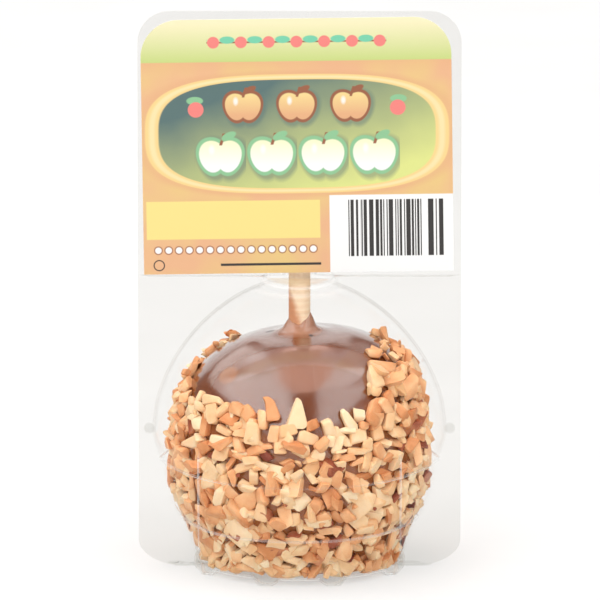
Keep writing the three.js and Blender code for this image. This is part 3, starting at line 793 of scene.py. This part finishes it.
def addNuts(finishes):
    # The sliver, both layers, the heap and the nuts along the edge, joined into one mesh for each kind.
    kinds, shares = list(nutLook["shares"]), list(nutLook["shares"].values())
    toasted, skinned = kinds.index("toasted"), kinds.index("skinned")
    groups = []
    for layer in nutLayers.values():
        at, angle = scatterNuts(layer["count"])
        frame = skinFrame(at, angle)
        onCrown = ease(*nutLook["crownHeights"], frame[0][:, 2:])
        size = nutSizes(len(at)) * mix(1, nutLook["crownSize"], onCrown)
        lift = (0.5 - rng.uniform(*layer["sink"], len(at))) * size[:, 2]
        groups.append((frame, size, lift, layer["loose"]))
    size = nutSizes(heap["count"])
    groups.append((heapFrame(heap["count"]), size, 0 * size[:, 0], heap["loose"]))
    rows = (sliver["centre"], (0, -1, 0), (1, 0, 0), sliver["size"])
    *frame, size = (np.array([row], float) for row in rows)
    turn, taper = np.radians([sliver["turn"]]), np.array([sliver["taper"]])
    laid = [layNuts(frame, size, turn, taper, np.zeros(1), 0, 0)]
    for frame, size, lift, loose in groups:
        turn, taper = rng.uniform(0, full, len(size)), rng.uniform(0, 0.75, len(size))
        laid.append(layNuts(frame, size, turn, taper, lift, loose, 1))
    kind = [rng.choice(len(kinds), len(group[0]), p=shares) for group in laid]
    kind[0] = np.array([toasted])
    for group, picked in zip(laid, kind):
        nearCrown = group[0][..., 2].mean(axis=1) > nutLook["skinnedTop"]
        picked[nearCrown & (picked == skinned)] = toasted
    edge = np.array([nut[:6] for nut in edgeNuts], float)
    line, length = skinLine()
    upper = np.argmax(line[:, 0]) + 1  # from there the outline only rises, so a height gives one place on it
    at = np.interp(edge[:, 1], line[upper:, 1], length[upper:])
    thickness = np.minimum(edge[:, 3], rng.uniform(*edgeLook["thickness"], len(edge)))
    laid.append(layNuts(skinFrame(at, np.radians(edge[:, 0])), np.column_stack([edge[:, 2:4], thickness]),
                        np.radians(edge[:, 4]), edge[:, 5], edgeLook["lift"] * thickness, edgeLook["loose"],
                        edgeLook["wild"]))
    kind.append(np.array([kinds.index(nut[6]) for nut in edgeNuts]))
    points, cuts = (np.concatenate([group[i] for group in laid]) for i in (0, 2))
    kind, faces = np.concatenate(kind), laid[0][1]
    tone = np.clip(rng.normal(0.5, 0.28, len(kind)), 0, 1)
    for number, name in enumerate(kinds):
        mine = kind == number
        block = points[mine]
        first = (np.arange(len(block)) * block.shape[1])[:, None, None]
        values = {"tone": np.repeat(tone[mine], block.shape[1]), "cut": cuts[mine]}
        cells = (faces[None] + first).reshape(-1, 4)
        piece = makePiece("nuts_" + name, block, cells, [finishes[name]], sharp=46, values=values)
    print("  nuts laid:", len(kind))


nutTones = {
    "pale": [(0, (0.92, 0.72, 0.48, 1)), (0.5, (0.88, 0.6, 0.35, 1)), (1, (0.8, 0.46, 0.23, 1))],
    "toasted": [(0, (0.9, 0.56, 0.31, 1)), (0.5, (0.8, 0.41, 0.2, 1)), (1, (0.62, 0.25, 0.1, 1))],
    "skinned": [(0, (0.62, 0.26, 0.13, 1)), (0.5, (0.36, 0.1, 0.05, 1)), (1, (0.2, 0.045, 0.025, 1))],
}


def nutFinish(name, stops):
    # waxy roasted nut: a tone for each piece, blotches, fine specks, cut faces paler than the rounded backs
    finish = Finish("nut_" + name)
    place = finish.place()
    blotch, specks = finish.noise(place, 420, 3), finish.noise(place, 2600, 2)
    shade = finish.number("tone") * 0.8 + (blotch - 0.5) * 0.7 + (specks - 0.5) * 0.2 + 0.3
    shade = shade - finish.number("cut") * 0.45
    colour = finish.node("ShaderNodeValToRGB", {"stops": stops}, {"Fac": shade})
    bump = finish.bump(0.35, 0.0002, specks + blotch * 2)
    return finish.surface({"Base Color": colour, "Roughness": 0.42, "Specular IOR Level": 0.18,
                           "Subsurface Weight": 0.12, "Subsurface Radius": (1, 0.5, 0.25),
                           "Subsurface Scale": 0.0012, "Normal": bump})


print("caramel")
addCaramel(caramel(caramelLook))
print("chopped nuts")
addNuts({name: nutFinish(name, stops) for name, stops in nutTones.items()})


stickLook = {"radius": 2.65, "bottomZ": 33, "topZ": 112, "round": 0.7, "uneven": 0.03,
             "wood": (0.93, 0.74, 0.54, 1), "grain": (0.84, 0.55, 0.32, 1), "stain": (0.56, 0.2, 0.075, 1),
             "stainEnds": (67, 62), "stainMost": 0.85}


def addStick(finish):
    # A profile of radius and height, with faint hoops left by the lathe, turned about the middle.
    look = stickLook
    radius, low, high, soft, uneven = (look[key] for key in ("radius", "bottomZ", "topZ", "round", "uneven"))
    bend = np.linspace(0, math.pi / 2, 7)
    body = np.linspace(low + soft, high - soft, 240)
    endRadius, endRise = radius - soft + soft * np.sin(bend), soft * np.cos(bend)
    r = np.concatenate([[0], endRadius, radius - uneven + uneven * np.sin(body * 4.1), endRadius[::-1], [0]])
    z = np.concatenate([[low], low + soft - endRise, body, (high - soft + endRise)[::-1], [high]])
    angle = np.linspace(0, full, 48, endpoint=False)
    r = np.minimum(r[:, None] + uneven * np.sin(2 * angle + 1), radius)
    r[[0, -1]] = 0
    points = turnedPoints(r, z[:, None] + 0 * angle, angle)
    faces = gridFaces(*points.shape[:2], closed=True)[:, ::-1]
    piece = makePiece("stick_wood", points, faces, [finish], merge=0.003)
    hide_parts("stick")


def stickFinish(look):
    # pale wood with fine cross rings and long fibres, stained where the caramel ran up it
    finish = Finish("stick_wood")
    place = finish.place()
    split = finish.node("ShaderNodeSeparateXYZ", {}, {"Vector": place}, "X")
    x, z = split * 1000, split.other("Z") * 1000

    def stretched(scales):
        pulled = finish.node("ShaderNodeVectorMath", {"operation": "MULTIPLY"}, {0: place, 1: scales})
        return finish.noise(pulled, 1, 3)

    hoops, fibres = stretched((60, 60, 1400)), stretched((2200, 2200, 60))
    wood = finish.paint(look["wood"], look["grain"], hoops * 2.2 + fibres * 0.7 - 1.1)
    soak = finish.fade(z + x * 2.6 + finish.noise(place, 260, 3) * 5, *look["stainEnds"])
    return finish.surface({"Base Color": finish.paint(wood, look["stain"], soak * look["stainMost"]),
                           "Roughness": 0.6, "Normal": finish.bump(0.4, 0.0002, hoops + fibres)})


print("stick")
addStick(stickFinish(stickLook))


card = {"width": 75, "bottomZ": 73.5, "height": 62.8, "corner": 9.2, "thickness": 0.2, "shiftX": -0.55,
        "turn": 0.8, "back": (0.72, 0.68, 0.6, 1), "backPale": (0.9, 0.87, 0.8, 1)}
# Print on the card, in millimetres from its lower left corner: where the parts stand, and their inks.
printPlan = {"band": 52.3, "plaque": (37.5, 34.4, 33.5, 13.4), "upperRow": (3, 13.0, 41.2, 4.1),
             "lowerRow": (4, 12.4, 29.0, 4.9), "berries": (24.4, 40.6), "chain": (14.2, 61.1, 57.1, 6.7),
             "yellow": (0.8, 8.6, 42.8, 18), "white": (45.1, -1, 76, 19.1), "bars": (48, 3.9, 73.2, 17.9),
             "barWidth": 0.264, "dots": (2.3, 42.3, 5.9, 2.5), "rule": (18.6, 1.9, 42.9, 2.5),
             "ring": (3.7, 2.2, 1.25)}
printInk = {"peach": (0.624, 0.345, 0.185, 1), "gold": (0.62, 0.43, 0.165, 1), "cream": (0.69, 0.64, 0.4, 1),
            "green": (0.43, 0.51, 0.16, 1), "slate": (0.065, 0.12, 0.115, 1), "lime": (0.56, 0.59, 0.19, 1),
            "border": (0.7, 0.5, 0.2, 1), "rim": (0.6, 0.32, 0.16, 1), "yellow": (0.71, 0.57, 0.19, 1),
            "white": (0.72, 0.72, 0.71, 1), "dark": (0.016, 0.013, 0.012, 1), "mint": (0.13, 0.47, 0.3, 1),
            "leaf": (0.2, 0.42, 0.22, 1), "coral": (0.67, 0.17, 0.15, 1), "brown": (0.24, 0.075, 0.03, 1),
            "butter": (0.7, 0.55, 0.22, 1), "ivory": (0.71, 0.7, 0.42, 1)}


def addCard(finish, backFinish):
    # A flat sheet with two round upper corners, in rows as wide as the card is at each height.
    columns, corner, height = 72, card["corner"], card["height"]
    bendV = height - corner
    bend = bendV + corner * np.sin(np.linspace(0, 0.5, 17)[1:] * math.pi)
    v = np.concatenate([np.linspace(0, bendV, 32), bend])
    up = np.clip((v - bendV) / corner, 0, 1)
    half = card["width"] / 2 - corner * (1 - np.sqrt(1 - up ** 2))
    across = half[:, None] * np.linspace(-1, 1, columns)
    level = np.repeat(v[:, None] - height / 2, columns, axis=1)
    turn = math.radians(card["turn"])
    faceY = pack["partingY"] - pack["gap"] / 2 - pack["wall"] - pack["gap"] - card["thickness"]
    x = card["shiftX"] + across * math.cos(turn) - level * math.sin(turn)
    z = card["bottomZ"] + height / 2 + across * math.sin(turn) + level * math.cos(turn)
    points = np.stack([x, np.full_like(x, faceY), z], axis=-1)
    piece = makePiece("label_card", points, gridFaces(*points.shape[:2]), [finish, backFinish])
    chart = piece.data.uv_layers.new(name="print")
    corners = np.empty(len(piece.data.loops), int)
    piece.data.loops.foreach_get("vertex_index", corners)
    flat = np.stack([across + card["width"] / 2, level + height / 2], axis=-1).reshape(-1, 2) / 100
    chart.data.foreach_set("uv", flat[corners].ravel())
    thicken(piece, card["thickness"], 30, material_offset=1, material_offset_rim=1)
    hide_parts("label")


def printedCard(plan, ink):
    # generic print: fields of colour, a plaque with two rows of apples, a chain of berries, bars and dots
    finish = Finish("label_print")
    chart = finish.node("ShaderNodeUVMap", {"uv_map": "print"})
    split = finish.node("ShaderNodeSeparateXYZ", {}, {"Vector": chart}, "X")
    x, y = split * 100, split.other("Y") * 100

    paint = finish.paint

    def clamp(value):
        return finish.node("ShaderNodeClamp", {}, {"Value": value})

    def inside(value, soft=0.16):
        # a soft-edged mask, 1 where value is above 0
        return clamp(value / soft + 0.5)

    def away(acrossX, upY):
        return (acrossX * acrossX + upY * upY) ** 0.5

    def box(left, low, right, high):
        across = inside((right - left) / 2 - abs(x - (left + right) / 2))
        return across * inside((high - low) / 2 - abs(y - (low + high) / 2))

    def repeat(left, pitch):
        # x from the middle of the nearest of many equal columns
        along = x - left
        return along.math("FLOORED_MODULO", along, pitch) - pitch / 2

    def appleRow(field, row, outline, skins):
        # apples side by side: two lobes that narrow downwards on a shadow, an outline, a stalk and a leaf
        count, pitch, middle, size = row
        left = plan["plaque"][0] - count * pitch / 2
        across = box(left, middle - 2 * size, left + count * pitch, middle + 2 * size)
        column, level = repeat(left, pitch) / size, (y - middle) / size
        narrowed = 1 - level * 0.14
        lobe = 0.64 - away(abs(column) * narrowed - 0.4, level * 0.8)
        shadow = 0.9 - away(abs(column - 0.12) * narrowed - 0.4, level * 0.8 + 0.1)
        field = paint(field, ink["slate"], inside(shadow, 0.22) * across * 0.55)
        field = paint(field, outline, inside(lobe + 0.15, 0.05) * across)
        blush = paint(skins[0], skins[1], clamp(level * 0.7 + 0.35))
        field = paint(field, blush, inside(lobe, 0.05) * across)
        shine = away(column + 0.42, level * 0.6 - 0.2)
        field = paint(field, ink["white"], inside(0.13 - shine, 0.12) * across * 0.8)
        stalk = inside(0.075 - abs(column - (level - 0.5) * 0.3), 0.05)
        field = paint(field, ink["brown"], stalk * inside(0.3 - abs(level - 0.86), 0.05) * across)
        leaf = 0.2 - away((column - 0.42) * 0.55, (level - 1.02) - (column - 0.42) * 0.35)
        return paint(field, outline, inside(leaf, 0.05) * across)

    field = paint(ink["peach"], ink["gold"], clamp(finish.noise(chart, 5, 2) * 4.5 - 1.75))
    field = paint(field, ink["rim"], inside(y - plan["band"] + 1.6, 3) * 0.55)
    paler = clamp((y - plan["band"]) / 9.5)
    field = paint(field, paint(ink["green"], ink["cream"], paler), inside(y - plan["band"]))

    middleX, middleY, halfWidth, halfHeight = plan["plaque"]
    plaqueX, plaqueY = (x - middleX) / halfWidth, (y - middleY) / halfHeight
    reach = (1 - (abs(plaqueX) ** 3 + abs(plaqueY) ** 3) ** (1 / 3)) * halfHeight
    field = paint(field, ink["rim"], inside(reach + 2.2, 0.9) * 0.6)
    field = paint(field, ink["border"], inside(reach + 1.3))
    field = paint(field, ink["cream"], inside(0.28 - abs(reach + 0.62), 0.3) * 0.5)
    shade = clamp(plaqueX * 0.35 - plaqueY * 0.42 + 0.45 + (finish.noise(chart, 9, 2) - 0.5) * 0.25)
    field = paint(field, paint(ink["slate"], ink["lime"], shade), inside(reach))
    field = appleRow(field, plan["upperRow"], ink["brown"], (ink["rim"], ink["butter"]))
    field = appleRow(field, plan["lowerRow"], ink["leaf"], (ink["white"], ink["ivory"]))
    berryX, berryY = abs(x - middleX) - plan["berries"][0], y - plan["berries"][1]
    field = paint(field, ink["leaf"], inside(1.0 - away((berryX - 0.2) * 0.5, berryY - 2.2)))
    field = paint(field, ink["coral"], inside(1.9 - away(berryX, berryY)))

    left, right, level, pitch = plan["chain"]
    along = box(left + pitch / 2 - 1.6, level - 3, right - pitch / 2 + 1.6, level + 3)
    column = repeat(left, pitch)
    field = paint(field, ink["brown"], inside(0.2 - abs(y - level)) * along)
    leaves = away((abs(column) - pitch / 2) * 0.5, y - level - 0.6)
    field = paint(field, ink["mint"], inside(0.9 - leaves) * along)
    field = paint(field, ink["coral"], inside(1.45 - away(column, y - level)) * along)

    field = paint(field, ink["yellow"], box(*plan["yellow"]))
    field = paint(field, ink["white"], box(*plan["white"]))
    number = x / plan["barWidth"]
    number = number.math("FLOOR", number)
    bars = finish.node("ShaderNodeTexWhiteNoise", {"noise_dimensions": "1D"}, {"W": number}, "Value")
    field = paint(field, ink["dark"], box(*plan["bars"]) * inside(bars - 0.5, 0.02))
    left, right, level, pitch = plan["dots"]
    along, dot = box(left, level - 2, right, level + 2), away(repeat(left, pitch), y - level)
    field = paint(field, ink["brown"], inside(1.08 - dot) * along * 0.8)
    field = paint(field, ink["white"], inside(0.78 - dot) * along)
    field = paint(field, ink["dark"], box(*plan["rule"]))
    ringX, ringY, radius = plan["ring"]
    field = paint(field, ink["dark"], inside(0.14 - abs(away(x - ringX, y - ringY) - radius)))

    fibre = finish.noise(chart, 260, 3)
    return finish.surface({"Base Color": field, "Roughness": 0.38 + fibre * 0.08,
                           "Normal": finish.bump(0.12, 0.0001, fibre)})


def plainCard():
    # the uncoated back of the card, with a faint pulp mottle
    finish = Finish("label_back")
    pulp = finish.noise(finish.place(), 700, 4)
    colour = finish.paint(card["back"], card["backPale"], pulp)
    return finish.surface({"Base Color": colour, "Roughness": 0.8, "Normal": finish.bump(0.2, 0.0001, pulp)})


print("label")
addCard(printedCard(printPlan, printInk), plainCard())


studio = {"floorRadius": 14, "floor": (0.3, 0.3, 0.297, 1), "fleck": (0.8, 0.8, 0.8, 1), "glow": 0.52,
          "glowTint": (0.975, 1, 1, 1), "world": (0.22, 0.22, 0.22, 1)}
# Soft boxes: middle and size in metres, tilt from facing down and turn in degrees, brightness. The level
# ones hang over the pack, duller in the middle and behind; two upright ones stand in front and behind.
softBoxes = {"leftFront": ((-1.09, -2.05, 1.3), (1.8, 3.15), 0, 0, 2.8),
             "leftOver": ((-1.035, -0.048, 1.3), (1.45, 1.08), 0, 11.3, 2.8),
             "leftBack": ((-1.334, 1.215, 1.3), (1.6, 1.53), 0, 11.3, 1.7),
             "rightFront": ((1.177, -1.907, 1.3), (1.3, 3.2), 0, 15.4, 2.3),
             "rightOver": ((0.547, -0.121, 1.3), (0.62, 1.015), 0, -10.8, 2.6),
             "rightOuter": ((1.251, -0.26, 1.3), (0.88, 1.015), 0, -10.8, 1.4),
             "rightBack": ((1.157, 0.888, 1.3), (1.5, 1.2), 0, -10.8, 0.7),
             "rightSide": ((2.8, -2.2, 1.3), (1.7, 2.2), 0, 0, 1.5),
             "middle": ((-0.03, 0.15, 1.3), (0.64, 1.58), 0, 0, 1.9),
             "backOver": ((-0.015, 1.69, 1.3), (0.87, 1.38), 0, 0, 1.2),
             "frontFill": ((0, -3.9, 0.5), (5.0, 1.1), 90, 0, 2.1),
             "backWall": ((0, 3.4, 0.9), (5.0, 1.8), 90, 180, 0.9)}
warmBox = {"name": "middle", "shape": "ELLIPSE", "tint": (1, 0.66, 0.55)}
view = {"lens": 800, "sensor": 36, "millimetresPerPixel": 0.2423, "pixels": 600, "pitch": 12.8,
        "target": (0.12, -3.4, 66.45)}


def addFloor():
    # a flat round floor of seamless paper, bright enough to lose the shadows
    finish = Finish("seamless_paper")
    colour = finish.paint(studio["floor"], studio["fleck"], finish.noise(finish.place(), 30, 2) * 0.1)
    paper = finish.surface({"Base Color": colour, "Roughness": 0.9, "Specular IOR Level": 0.1,
                            "Emission Color": studio["glowTint"], "Emission Strength": studio["glow"]})
    angle = np.linspace(0, full, 64, endpoint=False)
    radius = np.array([0, 0.2, 1.5, 6, studio["floorRadius"]])[:, None] / mm
    points = turnedPoints(radius, np.zeros((5, 64)), angle)
    floor = makePiece("floor", points, gridFaces(5, 64, closed=True), [paper], merge=0.01)


def addSoftBoxes():
    # the power of each is its brightness times pi and its area
    for name, (middle, size, tilt, turn, brightness) in softBoxes.items():
        lamp = bpy.data.lights.new(name, "AREA")
        lamp.shape, lamp.size, lamp.size_y = "RECTANGLE", size[0], size[1]
        lamp.energy = brightness * math.pi * size[0] * size[1]
        if name == warmBox["name"]:
            lamp.shape, lamp.color = warmBox["shape"], warmBox["tint"]
        box = bpy.data.objects.new(name, lamp)
        box.location = middle
        box.rotation_euler = (math.radians(tilt), 0, math.radians(turn))
        box.visible_camera = False
        bpy.context.scene.collection.objects.link(box)


def addCamera():
    # a long lens, as far off as its angle and the scale at the target ask
    camera = bpy.data.cameras.new("camera")
    camera.lens, camera.sensor_width = view["lens"], view["sensor"]
    camera.clip_start, camera.clip_end = 0.1, 100
    seen = bpy.data.objects.new("camera", camera)
    distance = view["lens"] / view["sensor"] * view["pixels"] * view["millimetresPerPixel"]
    pitch = math.radians(view["pitch"])
    target = np.array(view["target"])
    seen.location = (target + distance * np.array([0, -math.cos(pitch), math.sin(pitch)])) * mm
    seen.rotation_euler = (math.pi / 2 - pitch, 0, 0)
    bpy.context.scene.collection.objects.link(seen)
    bpy.context.scene.camera = seen


print("studio")
addFloor()
addSoftBoxes()
addCamera()
scene = bpy.context.scene
scene.world = bpy.data.worlds.new("studio")
scene.world.use_nodes = True
scene.world.node_tree.nodes["Background"].inputs["Color"].default_value = studio["world"]
scene.view_settings.view_transform = "Standard"
scene.cycles.transparent_max_bounces = 24
scene.cycles.max_bounces = 10
